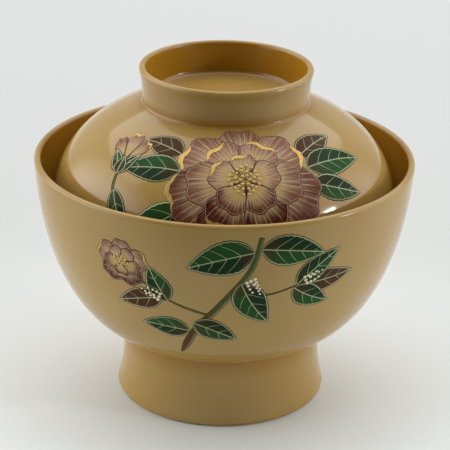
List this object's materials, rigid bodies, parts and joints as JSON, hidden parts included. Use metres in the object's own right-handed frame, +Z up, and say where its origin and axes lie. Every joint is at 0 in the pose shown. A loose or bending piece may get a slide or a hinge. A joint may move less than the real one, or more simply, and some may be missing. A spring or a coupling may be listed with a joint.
{
  "type": "lidded soup bowl",
  "caption": "Turned lacquer soup bowl on a flared foot ring, with a domed lid that sits inside the rim and has a ring handle.",
  "frame": {"origin": "centre of the foot's bearing ring, where the bowl stands on the table", "axes": "+Z up along the turning axis; the painted front faces -Y"},
  "size_m": [0.126, 0.126, 0.1144],
  "materials": {
    "wood": "turned, under lacquer",
    "ochre_lacquer": "polished lacquer",
    "inner_lacquer": "polished lacquer"
  },
  "bodies": {
    "bowl": {"bowl_core": "wood", "bowl_outer_lacquer": "ochre_lacquer", "bowl_inner_lacquer": "inner_lacquer", "hollow_lacquer": "ochre_lacquer"},
    "lid": {"lid_core": "wood", "lid_outer_lacquer": "ochre_lacquer", "lid_inner_lacquer": "inner_lacquer"}
  },
  "joints": [
    {"name": "lid_lift", "type": "slide", "parent": "bowl", "child": "lid", "axis": [0, 0, 1], "range_m": [0, 0.1]}
  ]
}
